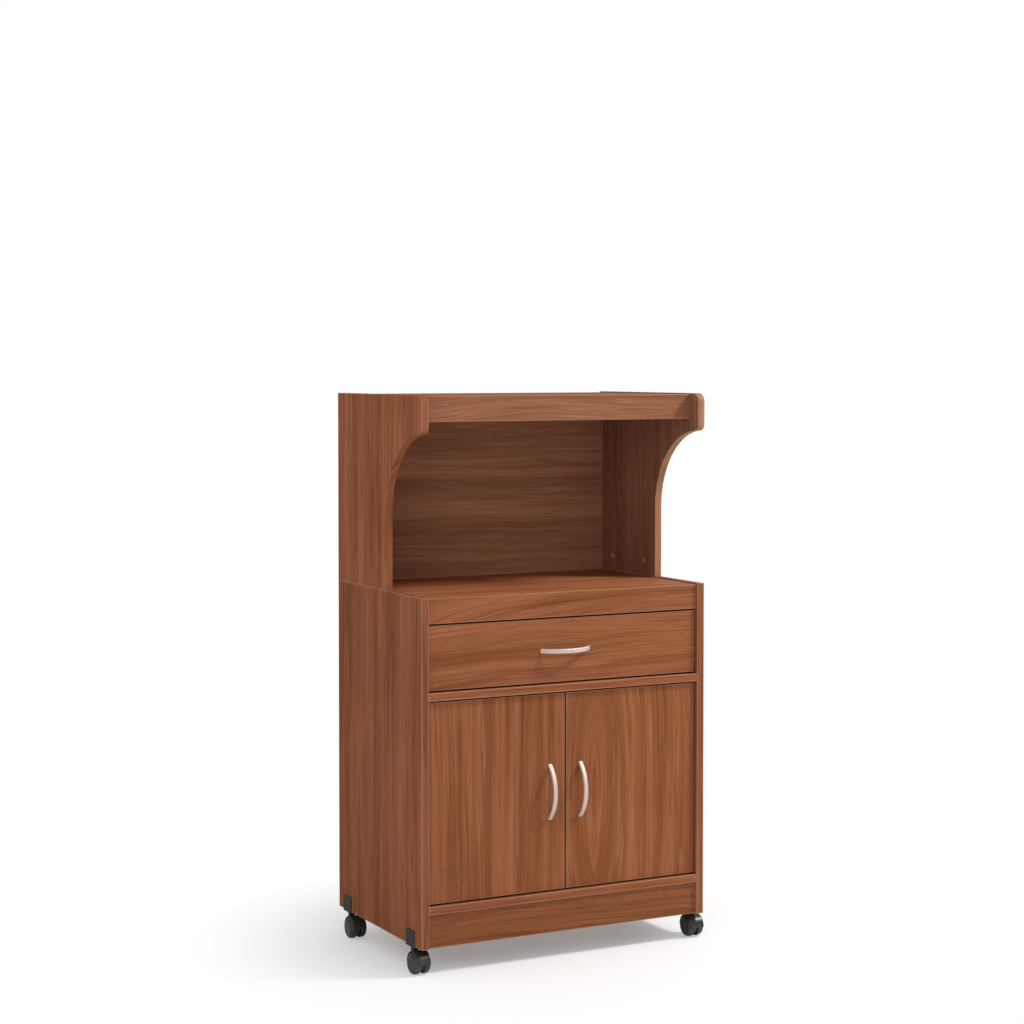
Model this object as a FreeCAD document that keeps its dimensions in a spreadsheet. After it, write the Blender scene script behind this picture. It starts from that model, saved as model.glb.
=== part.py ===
"""Microwave stand: a base cabinet on four casters with a drawer, two doors and an open hutch.

Millimetres, +Z up, +X to the right of someone facing the front, which looks along -Y.
The origin is on the floor under the centre of the whole stand, handles included.
"""
import FreeCAD, Part
import math
import os
import re
import Sketcher

Vector = FreeCAD.Vector
Constraint = Sketcher.Constraint

SAME = 0.01  # lengths and levels that differ by less are the same
ROUGH = 10  # a sketch's first size, before its dimensions take hold

# Driving dimensions: alias, value, meaning.
SIZES = [
    ("cabinet_width", 610, "over both side panels"),
    ("cabinet_depth", 385, "front edge to rear edge of the side panels"),
    ("board", 15, "thickness of every laminated board"),
    ("arris_radius", 0.8, "rounding of the banded edges"),
    ("base_bottom", 50, "floor to the lower edge of the side panels"),
    ("base_height", 650, "height of the base side panels"),
    ("hutch_height", 371, "height of the hutch side panels"),
    ("top_drop", 2, "each top lies this far below the edges of its side panels"),
    ("apron_height", 47.5, "rail in front of the tabletop"),
    ("apron_setback", 5, "rail face behind the side panels' front edges"),
    ("drawer_opening", 127, "clear height between apron and divider"),
    ("rail_setback", 1, "divider and bottom panel behind the front edges"),
    ("plinth_height", 63, "kick rail under the bottom panel"),
    ("plinth_setback", 6, "kick rail behind the front edges"),
    ("front_setback", 8, "drawer front and doors behind the front edges"),
    ("reveal", 3, "gap above and below the drawer front and the doors"),
    ("side_reveal", 2.5, "gap beside the drawer front and the doors"),
    ("door_split", 3, "gap between the two doors"),
    ("back_thickness", 3, "hardboard back of the base"),
    ("back_lap", 5.5, "how far the back reaches into each side panel's rebate"),
    ("rebate_width", 6, "rebate for the back, across the side panel"),
    ("foot_setback", 160, "hutch foot behind the front edges"),
    ("arch_radius", 158, "curve from the hutch foot out to the nose"),
    ("arch_start", 140.5, "height above the foot where the curve begins"),
    ("nose_radius", 14, "lower front corner of the hutch side"),
    ("corner_radius", 18, "upper front corner of the hutch side"),
    ("hutch_back_thickness", 12, "panel behind the microwave bay"),
    ("header_height", 48, "rail in front of the hutch top"),
    ("header_setback", 30, "hutch rail behind the front edges"),
    ("cam_diameter", 12, "cam nut in the hutch side"),
    ("cam_length", 10.5, "cam nut, along its axis"),
    ("cam_height", 30, "cam nut centre above the hutch foot"),
    ("cam_inset", 44, "cam nut centre from the foot edge and from the hutch back"),
    ("cam_slot_length", 8, "driver cross in the cam nut's face"),
    ("cam_slot_width", 1.6, "driver cross"),
    ("cam_slot_depth", 2, "driver cross"),
    ("cam_mouth", 6, "hole in the cam nut that swallows the bolt"),
    ("bolt_diameter", 5, "cam bolt"),
    ("bolt_bite", 30, "cam bolt's length in the base side panel"),
    ("bolt_way", 7, "hole for the cam bolt in the hutch side"),
    ("dowel_diameter", 8, "dowel between the hutch foot and the base"),
    ("dowel_length", 30, "dowel, half in each panel"),
    ("running_fit", 0.05, "radial clearance of turning pins"),
    ("close_fit", 0.02, "radial clearance of fixed pins"),
    ("slide_gap", 0.3, "clearance over and under the drawer runners"),
    ("drawer_board", 12, "sides and back of the drawer box"),
    ("drawer_length", 340, "drawer side, front to rear"),
    ("drawer_height", 95, "drawer side"),
    ("drawer_side_gap", 4, "drawer side to cabinet side"),
    ("drawer_side_rise", 9.5, "drawer side above the lower edge of its front"),
    ("drawer_bottom_thickness", 3, "hardboard drawer bottom"),
    ("bottom_groove_depth", 5, "groove that holds the drawer bottom"),
    ("bottom_groove_play", 0.2, "free height in that groove"),
    ("bottom_tuck", 4.5, "how far the drawer bottom reaches into its grooves"),
    ("bottom_rise", 8, "drawer bottom above the drawer side's lower edge"),
    ("runner_length", 330, "runner strip on the cabinet side"),
    ("runner_height", 12, "runner strip"),
    ("runner_bite", 6, "how far the runner reaches into the drawer side"),
    ("runner_groove_depth", 7, "groove in the drawer side for the runner"),
    ("runner_rise", 40, "runner groove above the drawer side's lower edge"),
    ("runner_setback", 3, "runner's front end behind the drawer front"),
    ("runner_nose", 3, "rounded front corners of the runner"),
    ("pivot_inset", 15, "door pivot axis from the door's outer edge"),
    ("pin_diameter", 5, "door pivot pin"),
    ("pin_depth", 12, "pin's length in the door"),
    ("pin_reach", 9.5, "pin's length in the divider or bottom panel"),
    ("pin_hole_spare", 0.5, "hole deeper than its pin"),
    ("pin_collar", 9, "collar that keeps the door off the panels"),
    ("pin_collar_play", 0.1, "collar thinner than the gap it fills"),
    ("bow_width", 9, "bow handle, across"),
    ("bow_thickness", 5, "bow handle, outwards"),
    ("bow_rounding", 2.2, "rounding of the bow's long edges"),
    ("bow_reach", 24, "outermost point of the handle from the face"),
    ("bow_chord", 100, "centre line of the bow where it meets the face"),
    ("bow_overrun", 12, "extra turn in degrees before the bow is cut flush"),
    ("screw_spacing", 96, "handle screws, centre to centre"),
    ("screw_diameter", 4, "handle screw"),
    ("screw_bite", 3.6, "handle screw's length in the handle"),
    ("screw_way", 5, "hole for the handle screw in the board"),
    ("screw_head", 8, "handle screw's head"),
    ("screw_head_height", 2.5, "handle screw's head"),
    ("handle_from_split", 33, "door handle's centre line from the stand's centre"),
    ("shelf_hole_diameter", 5, "holes for the shelf supports"),
    ("shelf_hole_depth", 8, "holes for the shelf supports"),
    ("shelf_hole_pitch", 32, "step between shelf positions"),
    ("shelf_positions", 3, "shelf positions"),
    ("shelf_hole_inset", 60, "hole columns from the shelf's front and rear edges"),
    ("shelf_drop", 190, "shelf's underside below the divider at the middle position"),
    ("shelf_setback", 45, "shelf's front edge behind the front edges"),
    ("shelf_play", 0.5, "gap at each end of the shelf and behind it"),
    ("support_length", 10, "shelf support's pad under the shelf"),
    ("support_height", 6, "shelf support's pad"),
    ("catch_width", 40, "magnetic catch"),
    ("catch_depth", 14, "magnetic catch"),
    ("catch_height", 12, "magnetic catch"),
    ("catch_from_split", 8, "catch's near end from the stand's centre"),
    ("strike_thickness", 1, "strike plate on the door"),
    ("strike_gap", 0.3, "between catch and strike plate"),
    ("wheel_diameter", 40, "caster wheel"),
    ("wheel_width", 13.5, "one wheel of the pair"),
    ("wheel_rim", 1.5, "rounding of the tread's inner edge"),
    ("wheel_dome", 7, "rounding from the tread to the wheel's outer face"),
    ("wheel_bore_depth", 11, "blind bore for the axle"),
    ("axle_diameter", 5, "caster axle"),
    ("axle_offset", 19, "axle in front of the swivel axis"),
    ("web_thickness", 7, "caster body between the wheels"),
    ("web_gap", 0.5, "between the web and each wheel"),
    ("web_drop", 16, "how far the web reaches below the axle"),
    ("hood_thickness", 2.2, "hood over the wheels"),
    ("hood_clearance", 1, "between wheel and hood"),
    ("hood_width", 29, "hood over both wheels"),
    ("hood_edge_radius", 1.8, "rounding of the hood's outer rims"),
    ("boss_diameter", 14, "stem boss on the hood"),
    ("boss_height", 12, "stem boss, above its lower end"),
    ("collar_diameter", 12, "thrust collar on the stem"),
    ("collar_gap", 1.5, "between the boss and the bracket"),
    ("stem_diameter", 8, "caster stem"),
    ("stem_top", 36, "stem's upper end above the panel's lower edge"),
    ("sleeve_diameter", 10, "socket sleeve in the side panel"),
    ("sleeve_length", 38, "socket sleeve in the side panel"),
    ("bracket_thickness", 2.5, "sole of the clip under the panel's edge"),
    ("wing_thickness", 2, "wings of the clip on the panel's faces"),
    ("bracket_length", 36, "clip along the panel's edge"),
    ("wing_height", 29, "wings above the panel's edge"),
    ("wing_radius", 4.5, "upper corners of the wings"),
    ("front_stem", 49, "front swivel axis behind the front edges"),
    ("rear_stem", 43, "rear swivel axis ahead of the rear edges"),
]

# Lengths that follow from the driving dimensions.
DERIVED = {
    "inner_width": "cabinet_width - 2 * board",
    "handle_proud": "bow_reach - front_setback",
    "front": "(handle_proud - cabinet_depth) / 2",
    "rear": "front + cabinet_depth",
    "base_top": "base_bottom + base_height",
    "tabletop_top": "base_top - top_drop",
    "apron_bottom": "tabletop_top - apron_height",
    "divider_top": "apron_bottom - drawer_opening",
    "divider_bottom": "divider_top - board",
    "floor_top": "base_bottom + plinth_height + board",
    "door_bottom": "floor_top + reveal",
    "door_height": "divider_bottom - floor_top - 2 * reveal",
    "door_width": "(inner_width - door_split) / 2 - side_reveal",
    "door_face": "front + front_setback",
    "door_inside": "door_face + board",
    "pivot_from_wall": "side_reveal + pivot_inset",
    "carcass_depth": "cabinet_depth - rail_setback - back_thickness",
    "hutch_top": "base_top + hutch_height",
    "hutch_top_top": "hutch_top - top_drop",
    "rear_cam": "cabinet_depth - hutch_back_thickness - cam_inset",
    "front_cam": "foot_setback + cam_inset",
    "drawer_bottom_edge": "divider_top + reveal",
    "drawer_front_height": "drawer_opening - 2 * reveal",
    "drawer_front_width": "inner_width - 2 * side_reveal",
    "drawer_side_bottom": "drawer_bottom_edge + drawer_side_rise",
    "drawer_box_width": "inner_width - 2 * drawer_side_gap",
    "drawer_inside_width": "drawer_box_width - 2 * drawer_board",
    "drawer_bottom_width": "drawer_inside_width + 2 * bottom_tuck",
    "bottom_groove_height": "drawer_bottom_thickness + bottom_groove_play",
    "runner_groove_height": "runner_height + 2 * slide_gap",
    "bow_apex": "bow_reach - bow_thickness / 2",
    "bow_radius": "((bow_chord / 2) ^ 2 + bow_apex ^ 2) / (2 * bow_apex)",
    "shelf_underside": "divider_bottom - shelf_drop",
    "shelf_depth": "cabinet_depth - back_thickness - shelf_setback - shelf_play",
    "axle_height": "wheel_diameter / 2",
    "hood_inner": "wheel_diameter / 2 + hood_clearance",
    "hood_outer": "hood_inner + hood_thickness",
    "bracket_sole": "base_bottom - bracket_thickness",
    "boss_top": "bracket_sole - collar_gap",
    "boss_bottom": "boss_top - boss_height",
    "wheel_inner_face": "web_thickness / 2 + web_gap",
}

document = FreeCAD.newDocument("microwave_stand")
sheet = document.addObject("Spreadsheet::Sheet", "Sizes")
subparts = []


def fill_sheet():
    for row, (alias, value, meaning) in enumerate(SIZES, start=1):
        sheet.set(f"A{row}", alias)
        sheet.set(f"B{row}", str(value))
        sheet.set(f"C{row}", meaning)
        sheet.setAlias(f"B{row}", alias)
    document.recompute()


def formula(text):
    """Spell out derived lengths and point every alias at its cell in the sheet."""
    aliases = {alias for alias, _, _ in SIZES}

    def spell(match):
        word = match.group()
        if word in DERIVED:
            return "(" + formula(DERIVED[word]) + ")"
        return "Sizes." + word if word in aliases else word

    return re.sub(r"[a-z_]+", spell, text)


# Bodies, sketches and features ---------------------------------------------------------

def place(thing, x, y, z, axis=None, angle=0):
    """Turn the thing about its own origin, then bind its origin to the formulas."""
    if axis:
        thing.Placement = FreeCAD.Placement(Vector(), FreeCAD.Rotation(axis, angle))
    for letter, text in zip("xyz", (x, y, z)):
        thing.setExpression(f".Placement.Base.{letter}", formula(text))


def new_body(label, x="0", y="0", z="0", axis=None, angle=0):
    body = document.addObject("PartDesign::Body", label)
    body.Label = label
    place(body, x, y, z, axis, angle)
    return body


def keep(body):
    subparts.append(body)
    return body


def new_sketch(body, role, level="0"):
    """Sketch parallel to an origin plane, at a level along the positive axis across it."""
    plane = next(item for item in body.Origin.OriginFeatures if item.Role == role)
    sketch = body.newObject("Sketcher::SketchObject", "Sketch")
    sketch.AttachmentSupport = [(plane, "")]
    sketch.MapMode = "FlatFace"
    sign = "-" if role == "XZ_Plane" else ""
    sketch.setExpression(".AttachmentOffset.Base.z", f"{sign}({formula(level)})")
    return sketch


def dimension(sketch, kind, places, text):
    index = sketch.addConstraint(Constraint(kind, *places, 1.0))
    sketch.setExpression(f"Constraints[{index}]", formula(text))


def rectangle(sketch, left, low, width, height):
    first = sketch.GeometryCount
    corners = [Vector(0, 0), Vector(ROUGH, 0), Vector(ROUGH, ROUGH), Vector(0, ROUGH)]
    for index in range(4):
        sketch.addGeometry(Part.LineSegment(corners[index], corners[(index + 1) % 4]), False)
    for index in range(4):
        sketch.addConstraint(Constraint("Coincident", first + index, 2, first + (index + 1) % 4, 1))
    for index in (0, 2):
        sketch.addConstraint(Constraint("Horizontal", first + index))
        sketch.addConstraint(Constraint("Vertical", first + index + 1))
    dimension(sketch, "DistanceX", (first, 1, first, 2), width)
    dimension(sketch, "DistanceY", (first + 1, 1, first + 1, 2), height)
    dimension(sketch, "DistanceX", (-1, 1, first, 1), left)
    dimension(sketch, "DistanceY", (-1, 1, first, 1), low)


def circle(sketch, across, up, diameter):
    index = sketch.addGeometry(Part.Circle(Vector(1, 1), Vector(0, 0, 1), 1), False)
    dimension(sketch, "Diameter", (index,), diameter)
    dimension(sketch, "DistanceX", (-1, 1, index, 3), across)
    dimension(sketch, "DistanceY", (-1, 1, index, 3), up)


def draw(sketch, shapes):
    for shape in shapes:
        if len(shape) == 4:
            rectangle(sketch, *shape)
        else:
            circle(sketch, *shape)


def pad(body, role, level, length, shapes, midplane=False):
    """Raise the shapes from the level towards the positive axis, or about it."""
    sketch = new_sketch(body, role, level)
    draw(sketch, shapes)
    feature = body.newObject("PartDesign::Pad", "Pad")
    feature.Profile = sketch
    feature.Midplane = midplane
    feature.Reversed = role == "XZ_Plane" and not midplane
    feature.setExpression("Length", formula(length))
    return feature


def pocket(body, role, level, depth, shapes, forward=True):
    """Cut the shapes from the level, forward along the positive axis or back along it."""
    document.recompute()
    before = body.Shape.Volume
    sketch = new_sketch(body, role, level)
    draw(sketch, shapes)
    feature = body.newObject("PartDesign::Pocket", "Pocket")
    feature.Profile = sketch
    feature.Reversed = forward != (role == "XZ_Plane")
    feature.setExpression("Length", formula(depth))
    document.recompute()
    if body.Shape.Volume >= before - 1e-6:
        raise RuntimeError(f"a pocket in {body.Label} cut nothing")
    return feature


def round_edges(body, radius, chosen):
    """Round the edges of the body's last feature that the test chooses."""
    document.recompute()
    last = body.Tip
    box = last.Shape.BoundBox
    names = [f"Edge{index}" for index, edge in enumerate(last.Shape.Edges, start=1)
             if chosen(edge.BoundBox, box)]
    feature = body.newObject("PartDesign::Fillet", "Fillet")
    feature.Base = (last, names)
    feature.setExpression("Radius", formula(radius))
    return feature


def same(first, second):
    return abs(first - second) < SAME


def on_front(edge, box):
    return same(edge.YMax, box.YMin)


def straight(edge):
    """Along one axis, as a board's edge is and a hole's rim isn't."""
    return sum(length > SAME for length in (edge.XLength, edge.YLength, edge.ZLength)) == 1


def group(label, bodies):
    """Several loose solids of one kind that share a node."""
    compound = document.addObject("Part::Compound", label)
    compound.Label = label
    compound.Links = bodies
    return keep(compound)


def flat_board(label, width, depth, thickness, x, y, z):
    body = keep(new_body(label, x, y, z))
    pad(body, "XY_Plane", "0", thickness, [("0", "0", width, depth)])
    return body


def side_board(label, depth, height, thickness, x, y, z):
    body = keep(new_body(label, x, y, z))
    pad(body, "YZ_Plane", "0", thickness, [("0", "0", depth, height)])
    return body


def front_board(label, width, height, thickness, x, y, z):
    body = keep(new_body(label, x, y, z))
    pad(body, "XZ_Plane", "0", thickness, [("0", "0", width, height)])
    return body


class Side:
    """Left or right: the same pieces, mirrored about the middle of the stand."""

    def __init__(self, name):
        self.name = name
        self.left = name == "left"
        self.sign = "-1" if self.left else "1"

    def corner(self, distance, width):
        """Low x of a piece of this width whose outer face is this far from the middle."""
        return f"-({distance})" if self.left else f"{distance} - {width}"

    def inner(self, thickness):
        """Local level of the inner face of a board of this thickness."""
        return thickness if self.left else "0"

    def outer(self, thickness):
        return "0" if self.left else thickness


LEFT, RIGHT = Side("left"), Side("right")
SIDES = (LEFT, RIGHT)


# Base cabinet --------------------------------------------------------------------------

def base_side(side):
    """Side panel: rebate for the back, shelf holes, caster sockets, bolt and dowel holes."""
    body = side_board(f"side_panel_{side.name}", "cabinet_depth", "base_height", "board",
                      side.corner("cabinet_width / 2", "board"), "front", "base_bottom")
    inner = side.inner("board")
    inwards = not side.left
    pocket(body, "YZ_Plane", inner, "rebate_width",
           [("cabinet_depth - back_thickness", "0", "back_thickness", "base_height")], inwards)
    lowest = "shelf_underside - base_bottom - shelf_hole_diameter / 2 - shelf_hole_pitch"
    columns = ("shelf_setback + shelf_hole_inset",
               "shelf_setback + shelf_depth - shelf_hole_inset")
    holes = pocket(body, "YZ_Plane", inner, "shelf_hole_depth",
                   [(column, lowest, "shelf_hole_diameter + 2 * close_fit") for column in columns],
                   inwards)
    pattern = body.newObject("PartDesign::LinearPattern", "ShelfHoles")
    pattern.Originals = [holes]
    pattern.Direction = (holes.Profile[0], ["V_Axis"])
    pattern.setExpression("Occurrences", formula("shelf_positions"))
    pattern.setExpression("Length", formula("shelf_hole_pitch * (shelf_positions - 1)"))
    body.Tip = pattern
    sockets = ("front_stem", "cabinet_depth - rear_stem")
    pocket(body, "XY_Plane", "0", "sleeve_length + pin_hole_spare",
           [("board / 2", socket, "sleeve_diameter + 2 * close_fit") for socket in sockets])
    pocket(body, "XY_Plane", "base_height", "bolt_bite",
           [("board / 2", bolt, "bolt_diameter + 2 * close_fit")
            for bolt in ("front_cam", "rear_cam")], False)
    pocket(body, "XY_Plane", "base_height", "dowel_length / 2",
           [("board / 2", "(front_cam + rear_cam) / 2", "dowel_diameter + 2 * close_fit")], False)
    round_edges(body, "arris_radius",
                lambda edge, box: on_front(edge, box) and edge.ZLength > box.ZLength / 2)


def base_rails():
    """Apron, divider, bottom panel, kick rail, tabletop and hardboard back."""
    left = "-inner_width / 2"
    flat_board("tabletop", "inner_width", "cabinet_depth - apron_setback - board", "board",
               left, "front + apron_setback + board", "tabletop_top - board")
    apron = front_board("apron", "inner_width", "apron_height", "board",
                        left, "front + apron_setback", "apron_bottom")
    round_edges(apron, "arris_radius",
                lambda edge, box: on_front(edge, box) and edge.XLength > SAME)
    divider = flat_board("divider", "inner_width", "carcass_depth", "board",
                         left, "front + rail_setback", "divider_bottom")
    bottom = flat_board("bottom_panel", "inner_width", "carcass_depth", "board",
                        left, "front + rail_setback", "floor_top - board")
    pivots = [(across, "front_setback + board / 2 - rail_setback",
               "pin_diameter + 2 * running_fit")
              for across in ("pivot_from_wall", "inner_width - pivot_from_wall")]
    pocket(divider, "XY_Plane", "0", "pin_reach + pin_hole_spare", pivots)
    pocket(bottom, "XY_Plane", "board", "pin_reach + pin_hole_spare", pivots, False)
    for rail in (divider, bottom):
        round_edges(rail, "arris_radius",
                    lambda edge, box: on_front(edge, box) and edge.XLength > SAME)
    plinth = front_board("plinth", "inner_width", "plinth_height", "board",
                         left, "front + plinth_setback", "base_bottom")
    round_edges(plinth, "arris_radius",
                lambda edge, box: on_front(edge, box) and edge.XLength > SAME)
    front_board("base_back", "inner_width + 2 * back_lap",
                "tabletop_top - floor_top", "back_thickness",
                "-inner_width / 2 - back_lap", "rear - back_thickness", "floor_top - board")


def shelf():
    """Loose shelf on four supports that plug into the side panels."""
    board = flat_board("shelf", "inner_width - 2 * shelf_play", "shelf_depth", "board",
                       "shelf_play - inner_width / 2", "front + shelf_setback",
                       "shelf_underside")
    round_edges(board, "arris_radius",
                lambda edge, box: on_front(edge, box) and edge.XLength > SAME)
    supports = []
    for side in SIDES:
        for row in ("shelf_hole_inset", "shelf_depth - shelf_hole_inset"):
            support = new_body(f"support_{side.name}", f"{side.sign} * inner_width / 2",
                               f"front + shelf_setback + {row}",
                               "shelf_underside - shelf_hole_diameter / 2",
                               Vector(0, 0, 1), 0 if side.left else 180)
            pad(support, "YZ_Plane", "-(shelf_hole_depth - pin_hole_spare)",
                "shelf_hole_depth - pin_hole_spare + support_length",
                [("0", "0", "shelf_hole_diameter")])
            pad(support, "YZ_Plane", "0", "support_length",
                [("-support_height / 2", "shelf_hole_diameter / 2 - support_height",
                  "support_height", "support_height")])
            supports.append(support)
    group("shelf_supports", supports)


# Hutch ---------------------------------------------------------------------------------

def hutch_profile(body):
    """Foot, quarter arch out to the front, straight front edge, top and rear edge."""
    deep, tall, foot, radius, start = (
        sheet.get(name) for name in
        ("cabinet_depth", "hutch_height", "foot_setback", "arch_radius", "arch_start"))
    centre = foot - radius
    mouth = start + math.sqrt(radius ** 2 - centre ** 2)
    sketch = new_sketch(body, "YZ_Plane")
    corners = [Vector(foot, start), Vector(foot, 0), Vector(deep, 0), Vector(deep, tall),
               Vector(0, tall), Vector(0, mouth)]
    for first, second in zip(corners, corners[1:]):
        sketch.addGeometry(Part.LineSegment(first, second), False)
    arch = Part.Circle(Vector(centre, start), Vector(0, 0, 1), radius)
    sketch.addGeometry(Part.ArcOfCircle(arch, 0, math.atan2(mouth - start, -centre)), False)
    for line in range(4):
        sketch.addConstraint(Constraint("Coincident", line, 2, line + 1, 1))
    sketch.addConstraint(Constraint("Coincident", 4, 2, 5, 2))
    sketch.addConstraint(Constraint("Tangent", 5, 1, 0, 1))
    for line in (0, 2, 4):
        sketch.addConstraint(Constraint("Vertical", line))
    for line in (1, 3):
        sketch.addConstraint(Constraint("Horizontal", line))
    sketch.addConstraint(Constraint("PointOnObject", 0, 2, -1))
    sketch.addConstraint(Constraint("PointOnObject", 3, 2, -2))
    dimension(sketch, "DistanceX", (-1, 1, 0, 2), "foot_setback")
    dimension(sketch, "DistanceX", (-1, 1, 1, 2), "cabinet_depth")
    dimension(sketch, "DistanceY", (-1, 1, 2, 2), "hutch_height")
    dimension(sketch, "DistanceY", (-1, 1, 0, 1), "arch_start")
    dimension(sketch, "Radius", (5,), "arch_radius")
    feature = body.newObject("PartDesign::Pad", "Pad")
    feature.Profile = sketch
    feature.setExpression("Length", formula("board"))


def hutch_side(side):
    body = keep(new_body(f"hutch_side_{side.name}",
                         side.corner("cabinet_width / 2", "board"), "front", "base_top"))
    hutch_profile(body)

    def front_corner(edge, box):
        return on_front(edge, box) and same(edge.ZLength, 0)

    round_edges(body, "nose_radius",
                lambda edge, box: front_corner(edge, box) and not same(edge.ZMax, box.ZMax))
    round_edges(body, "corner_radius",
                lambda edge, box: front_corner(edge, box) and same(edge.ZMax, box.ZMax))
    inner = side.inner("board")
    cams = ("front_cam", "rear_cam")
    round_edges(body, "arris_radius",
                lambda edge, box: same(edge.XLength, 0) and edge.YMin < box.YMin + box.YLength / 2)
    pocket(body, "YZ_Plane", inner, "cam_length",
           [(cam, "cam_height", "cam_diameter + 2 * close_fit") for cam in cams],
           not side.left)
    pocket(body, "XY_Plane", "0", "cam_height",
           [("board / 2", cam, "bolt_way") for cam in cams])
    pocket(body, "XY_Plane", "0", "dowel_length / 2",
           [("board / 2", "(front_cam + rear_cam) / 2", "dowel_diameter + 2 * close_fit")])


def cam_nut(side, cam):
    """Slotted disc whose mouth faces down to swallow the bolt."""
    body = new_body(f"cam_nut_{side.name}", f"{side.sign} * (inner_width / 2 + cam_length)",
                    f"front + {cam}", "base_top + cam_height",
                    Vector(0, 1, 0), 90 if side.left else -90)
    pad(body, "XY_Plane", "0", "cam_length", [("0", "0", "cam_diameter")])
    for width, height in (("cam_slot_length", "cam_slot_width"),
                          ("cam_slot_width", "cam_slot_length")):
        pocket(body, "XY_Plane", "cam_length", "cam_slot_depth",
               [(f"-{width} / 2", f"-{height} / 2", width, height)], False)
    pocket(body, "YZ_Plane", "0", "cam_diameter",
           [("0", "cam_length - board / 2", "cam_mouth")], side.left)
    return body


def hutch_joints():
    """Cam nuts, cam bolts and dowels that hold the hutch on the base."""
    nuts, bolts, dowels = [], [], []
    for side in SIDES:
        middle = f"{side.sign} * (cabinet_width - board) / 2"
        for cam in ("front_cam", "rear_cam"):
            nuts.append(cam_nut(side, cam))
            bolt = new_body(f"cam_bolt_{side.name}", middle, f"front + {cam}",
                            "base_top - bolt_bite")
            pad(bolt, "XY_Plane", "0", "bolt_bite + cam_height", [("0", "0", "bolt_diameter")])
            bolts.append(bolt)
        dowel = new_body(f"dowel_{side.name}", middle, "front + (front_cam + rear_cam) / 2",
                         "base_top - dowel_length / 2")
        pad(dowel, "XY_Plane", "0", "dowel_length", [("0", "0", "dowel_diameter")])
        dowels.append(dowel)
    group("hutch_cam_nuts", nuts)
    group("hutch_cam_bolts", bolts)
    group("hutch_dowels", dowels)


def hutch_panels():
    left = "-inner_width / 2"
    flat_board("hutch_top", "inner_width", "cabinet_depth - header_setback - board", "board",
               left, "front + header_setback + board", "hutch_top_top - board")
    header = front_board("header", "inner_width", "header_height", "board",
                         left, "front + header_setback", "hutch_top_top - header_height")
    round_edges(header, "arris_radius",
                lambda edge, box: on_front(edge, box) and edge.XLength > SAME)
    front_board("hutch_back", "inner_width", "hutch_top_top - board - tabletop_top",
                "hutch_back_thickness", left, "rear - hutch_back_thickness", "tabletop_top")


# Handles -------------------------------------------------------------------------------

def bow_handle(label, x, y, z, upright):
    """Rounded bar bent to an arc and cut flush with the face that it is screwed to."""
    turn = 0 if upright else 90
    body = keep(new_body(label, x, y, z, Vector(0, 1, 0), turn))
    sketch = new_sketch(body, "XY_Plane")
    rectangle(sketch, "-bow_width / 2", "-bow_reach", "bow_width", "bow_thickness")
    axis = sketch.addGeometry(Part.LineSegment(Vector(-ROUGH, ROUGH), Vector(ROUGH, ROUGH)), True)
    sketch.addConstraint(Constraint("Horizontal", axis))
    dimension(sketch, "DistanceY", (-1, 1, axis, 1), "bow_radius - bow_apex")
    dimension(sketch, "DistanceX", (axis, 1, -1, 1), "bow_width")
    dimension(sketch, "DistanceX", (axis, 1, axis, 2), "2 * bow_width")
    bow = body.newObject("PartDesign::Revolution", "Bow")
    bow.Profile = sketch
    bow.ReferenceAxis = (sketch, ["Axis0"])
    bow.Midplane = True
    bow.setExpression("Angle", formula(
        "2 * (asin(bow_chord / 2 / bow_radius) / 1 deg + bow_overrun)"))
    pocket(body, "XZ_Plane", "0", "bow_radius",
           [("-bow_width", "-bow_chord", "2 * bow_width", "2 * bow_chord")])
    round_edges(body, "bow_rounding",
                lambda edge, box: edge.ZLength > box.ZLength / 2 and same(edge.XLength, 0))
    pocket(body, "XZ_Plane", "0", "screw_bite + close_fit",
           [("0", f"{sign} * screw_spacing / 2", "screw_diameter + 2 * close_fit")
            for sign in ("-1", "1")], False)


def handle_screws(label, x, y, z, upright):
    """Two screws from inside the board: y is the board's inner face."""
    screws = []
    for sign in ("-1", "1"):
        offset = f"{sign} * screw_spacing / 2"
        screw = new_body("screw", x if upright else f"{x} + {offset}", y,
                         f"{z} + {offset}" if upright else z)
        pad(screw, "XZ_Plane", "-(board + screw_bite)", "board + screw_bite",
            [("0", "0", "screw_diameter")])
        pad(screw, "XZ_Plane", "0", "screw_head_height", [("0", "0", "screw_head")])
        round_edges(screw, "screw_head_height / 3",
                    lambda edge, box: same(edge.YMin, box.YMax))
        screws.append(screw)
    group(label, screws)


# Drawer --------------------------------------------------------------------------------

def drawer_front():
    body = front_board("drawer_front", "drawer_front_width", "drawer_front_height", "board",
                       "-drawer_front_width / 2", "door_face", "drawer_bottom_edge")
    pocket(body, "XZ_Plane", "board", "bottom_groove_depth",
           [("(drawer_front_width - drawer_bottom_width) / 2 - bottom_groove_play",
             "drawer_side_rise + bottom_rise",
             "drawer_bottom_width + 2 * bottom_groove_play", "bottom_groove_height")], False)
    pocket(body, "XZ_Plane", "0", "board",
           [(f"drawer_front_width / 2 + {sign} * screw_spacing / 2",
             "drawer_front_height / 2", "screw_way") for sign in ("-1", "1")])
    round_edges(body, "arris_radius",
                lambda edge, box: on_front(edge, box) and straight(edge))
    centre = "drawer_bottom_edge + drawer_front_height / 2"
    bow_handle("drawer_handle", "0", "door_face", centre, False)
    handle_screws("drawer_handle_screws", "0", "door_inside", centre, False)


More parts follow.
